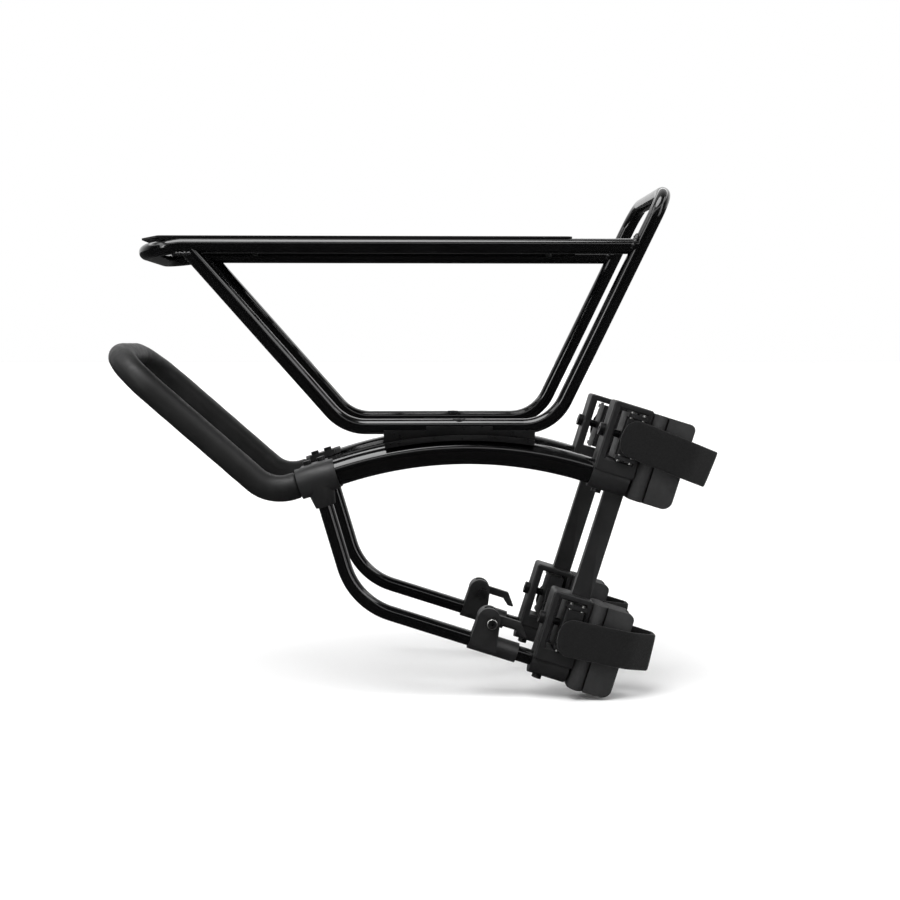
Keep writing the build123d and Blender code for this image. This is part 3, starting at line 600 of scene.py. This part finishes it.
rail_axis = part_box("top_plate")[0].z - ROD
base_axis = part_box("hoop_frame")[0].z + ROD
front_run = Vector((LEG_FRONT - BASE_FRONT, 0, rail_axis - base_axis)).normalized()
rear_run = Vector((LEG_REAR - BASE_REAR, 0, rail_axis - base_axis)).normalized()
back = Vector((-front_run.z, 0, front_run.x))
reach = ROD * 1.02
across = Vector((0, reach, 0))
for side, sign in SIDES:
    at = Vector((LEG_FRONT, sign * HALF_TRACK, rail_axis)) + back * ROD * 0.98
    weld(f"{side}_front_weld", at, across, front_run * reach * 1.08)
    at = Vector((LEG_REAR, sign * HALF_TRACK, rail_axis - ROD)) - rear_run * 0.6 * MM
    weld(f"{side}_rear_weld", at, across, Vector((1, 0, 0)) * reach * 1.35)

# ---------------------------------------------------------------- mouldings with rounded edges
EDGE_WIDTHS = {
    "mount_bracket": 0.0006,
    "tee_collar": 0.0006,
    "saddle_block": 0.0008,
    "saddle_shoe": 0.0006,
    "hook_clamp": 0.0007,
    "hook_finger": 0.0008,
    "upper_pad": 0.0012,
    "lower_pad": 0.0012,
}
for side, sign in SIDES:
    for part, width in EDGE_WIDTHS.items():
        softened(f"{side}_{part}", width, saddle_finish if part.startswith("saddle") else None)

# ---------------------------------------------------------------- stage and light
FLOOR_SIZE, FLOOR_GAP = 30, 0.002
FLOOR_IN_MIRROR = (0.03, 0.03, 0.03, 1)     # the floor's colour as the black paint reflects it
GLOW_FROM, GLOW_TO = (-0.15, 0.55), (0.025, 0.8)    # the room, dark in front and light behind
STRIP_STRENGTH = {"overhead": 1.9, "beside": 2.8}
SUN_POWER, SUN_SPREAD, SUN_TILT = 2.55, 40, (18, -12)
LAMP_AIM, LAMP_SIZE = (0, 0, -0.15), (0.16, 0.9)

ground = min(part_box(n)[0].z for n in nodes)
bpy.ops.mesh.primitive_plane_add(size=FLOOR_SIZE, location=(0, 0, ground - FLOOR_GAP))
floor = bpy.context.object
floor.name = "floor"
pale = Shade("pale_floor", (0.9, 0.9, 0.9), 0.9)
pale.set(Specular_IOR_Level=0.1)
pale.tint(pale.noise(2, 2), (0.925, 0.925, 0.925), (0.935, 0.935, 0.935))
mirror_ray = pale.node("ShaderNodeLightPath").outputs["Is Glossy Ray"]
dim = pale.node("ShaderNodeBsdfDiffuse")
dim.inputs["Color"].default_value = FLOOR_IN_MIRROR
swap = pale.node("ShaderNodeMixShader")
pale.link(mirror_ray, swap.inputs["Fac"])
pale.link(pale.main.outputs["BSDF"], swap.inputs[1])
pale.link(dim.outputs["BSDF"], swap.inputs[2])
pale.link(swap.outputs["Shader"], pale.tree.nodes["Material Output"].inputs["Surface"])
dress(floor, pale.material)

world = bpy.data.worlds.new("studio")
scene.world = world
world.use_nodes = True
sky = world.node_tree
behind = sky.nodes["Background"]
behind.inputs["Color"].default_value = (1, 1, 1, 1)
behind.inputs["Strength"].default_value = 1.0
around = sky.nodes.new("ShaderNodeBackground")
around.inputs["Color"].default_value = (1, 1, 1, 1)
facing = sky.nodes.new("ShaderNodeTexCoord")
parts = sky.nodes.new("ShaderNodeSeparateXYZ")
glow = sky.nodes.new("ShaderNodeMapRange")
glow.inputs["From Min"].default_value, glow.inputs["From Max"].default_value = GLOW_FROM
glow.inputs["To Min"].default_value, glow.inputs["To Max"].default_value = GLOW_TO
sky.links.new(facing.outputs["Generated"], parts.inputs["Vector"])
sky.links.new(parts.outputs["Y"], glow.inputs["Value"])


def calc(operation, a, b):
    made = sky.nodes.new("ShaderNodeMath")
    made.operation = operation
    for socket, value in zip(made.inputs, (a, b)):
        if isinstance(value, (int, float)):
            socket.default_value = value
        else:
            sky.links.new(value, socket)
    return made.outputs["Value"]


def strip(value, middle, half_width, strength):
    """A bright band of the studio where the given direction value is near its middle."""
    away = calc("ABSOLUTE", calc("SUBTRACT", value, middle), 0.0)
    return calc("MULTIPLY", calc("LESS_THAN", away, half_width), strength)


overhead = strip(parts.outputs["Z"], 0.60, 0.05, STRIP_STRENGTH["overhead"])
sideways = calc("ABSOLUTE", parts.outputs["X"], 0.0)
beside = strip(sideways, 0.66, 0.07, STRIP_STRENGTH["beside"])
beside = calc("MULTIPLY", beside, calc("LESS_THAN", parts.outputs["Y"], 0.0))
lit = calc("ADD", glow.outputs["Result"], calc("MAXIMUM", overhead, beside))
sky.links.new(lit, around.inputs["Strength"])
ray = sky.nodes.new("ShaderNodeLightPath")
choose = sky.nodes.new("ShaderNodeMixShader")
sky.links.new(ray.outputs["Is Camera Ray"], choose.inputs["Fac"])
sky.links.new(around.outputs["Background"], choose.inputs[1])
sky.links.new(behind.outputs["Background"], choose.inputs[2])
sky.links.new(choose.outputs["Shader"], sky.nodes["World Output"].inputs["Surface"])
scene.view_settings.view_transform = "Standard"
scene.view_settings.look = "None"


def soft_box(name, place, power):
    data = bpy.data.lights.new(name, "AREA")
    data.shape = "RECTANGLE"
    data.size, data.size_y = LAMP_SIZE
    data.energy = power
    light = bpy.data.objects.new(name, data)
    light.location = place
    aim = Vector(LAMP_AIM) - Vector(place)
    light.rotation_euler = aim.to_track_quat("-Z", "Y").to_euler()
    scene.collection.objects.link(light)


sun_data = bpy.data.lights.new("dome", "SUN")
sun_data.energy = SUN_POWER
sun_data.angle = math.radians(SUN_SPREAD)
sun = bpy.data.objects.new("dome", sun_data)
sun.rotation_euler = (*map(math.radians, SUN_TILT), 0)
scene.collection.objects.link(sun)
soft_box("front_left", (-1.1, -1.2, 0.25), 2.2)
soft_box("front_right", (1.3, -0.9, 0.35), 1.6)
